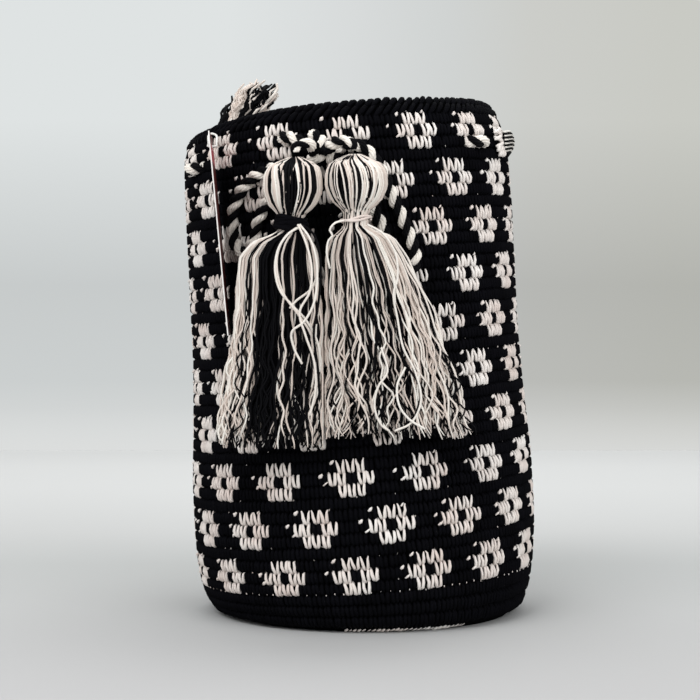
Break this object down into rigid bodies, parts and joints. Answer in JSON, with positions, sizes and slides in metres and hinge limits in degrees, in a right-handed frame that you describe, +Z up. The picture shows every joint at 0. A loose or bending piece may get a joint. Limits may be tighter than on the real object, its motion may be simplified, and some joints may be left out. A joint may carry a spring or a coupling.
{
  "type": "crocheted drawstring bucket bag",
  "caption": "Round crocheted shoulder bag with a stitched flower pattern, a drawstring tied in a bow at the front, hanging yarn tassels, a woven strap and a card tag.",
  "frame": {"origin": "centre of the flat base, on the surface the bag stands on", "axes": "+Z up, the tassels and the drawstring's bow face -Y, +X is to the right seen from the front"},
  "size_m": [0.1949, 0.3448, 0.2971],
  "materials": {
    "bag_body": "matte",
    "drawstring": "matte",
    "left_tassel_yarn": "matte",
    "left_tassel_tie": "matte",
    "right_tassel_yarn": "matte",
    "right_tassel_tie": "matte",
    "strap": "matte",
    "strap_binding_right": "matte",
    "strap_binding_left": "matte",
    "yarn_tuft": "matte",
    "hang_tag": "satin",
    "tag_thread": "matte"
  },
  "bodies": {
    "bag": {"bag_body": "bag_body", "drawstring": "drawstring", "strap": "strap", "strap_binding_right": "strap_binding_right", "strap_binding_left": "strap_binding_left", "yarn_tuft": "yarn_tuft", "tag_thread": "tag_thread"},
    "left_tassel": {"left_tassel_yarn": "left_tassel_yarn", "left_tassel_tie": "left_tassel_tie"},
    "right_tassel": {"right_tassel_yarn": "right_tassel_yarn", "right_tassel_tie": "right_tassel_tie"},
    "tag": {"hang_tag": "hang_tag"}
  },
  "joints": [
    {"name": "left_tassel_swing", "type": "hinge", "parent": "bag", "child": "left_tassel", "pos_m": [-0.0386, -0.11495, 0.245], "axis": [-1, 0, 0], "range_deg": [0, 60]},
    {"name": "right_tassel_swing", "type": "hinge", "parent": "bag", "child": "right_tassel", "pos_m": [-0.0086, -0.11595, 0.2464], "axis": [-1, 0, 0], "range_deg": [0, 60]},
    {"name": "tag_swing", "type": "hinge", "parent": "bag", "child": "tag", "pos_m": [-0.08294, -0.08709, 0.25442], "axis": [-0.995, -0.0347, -0.0941], "range_deg": [0, 60]}
  ]
}
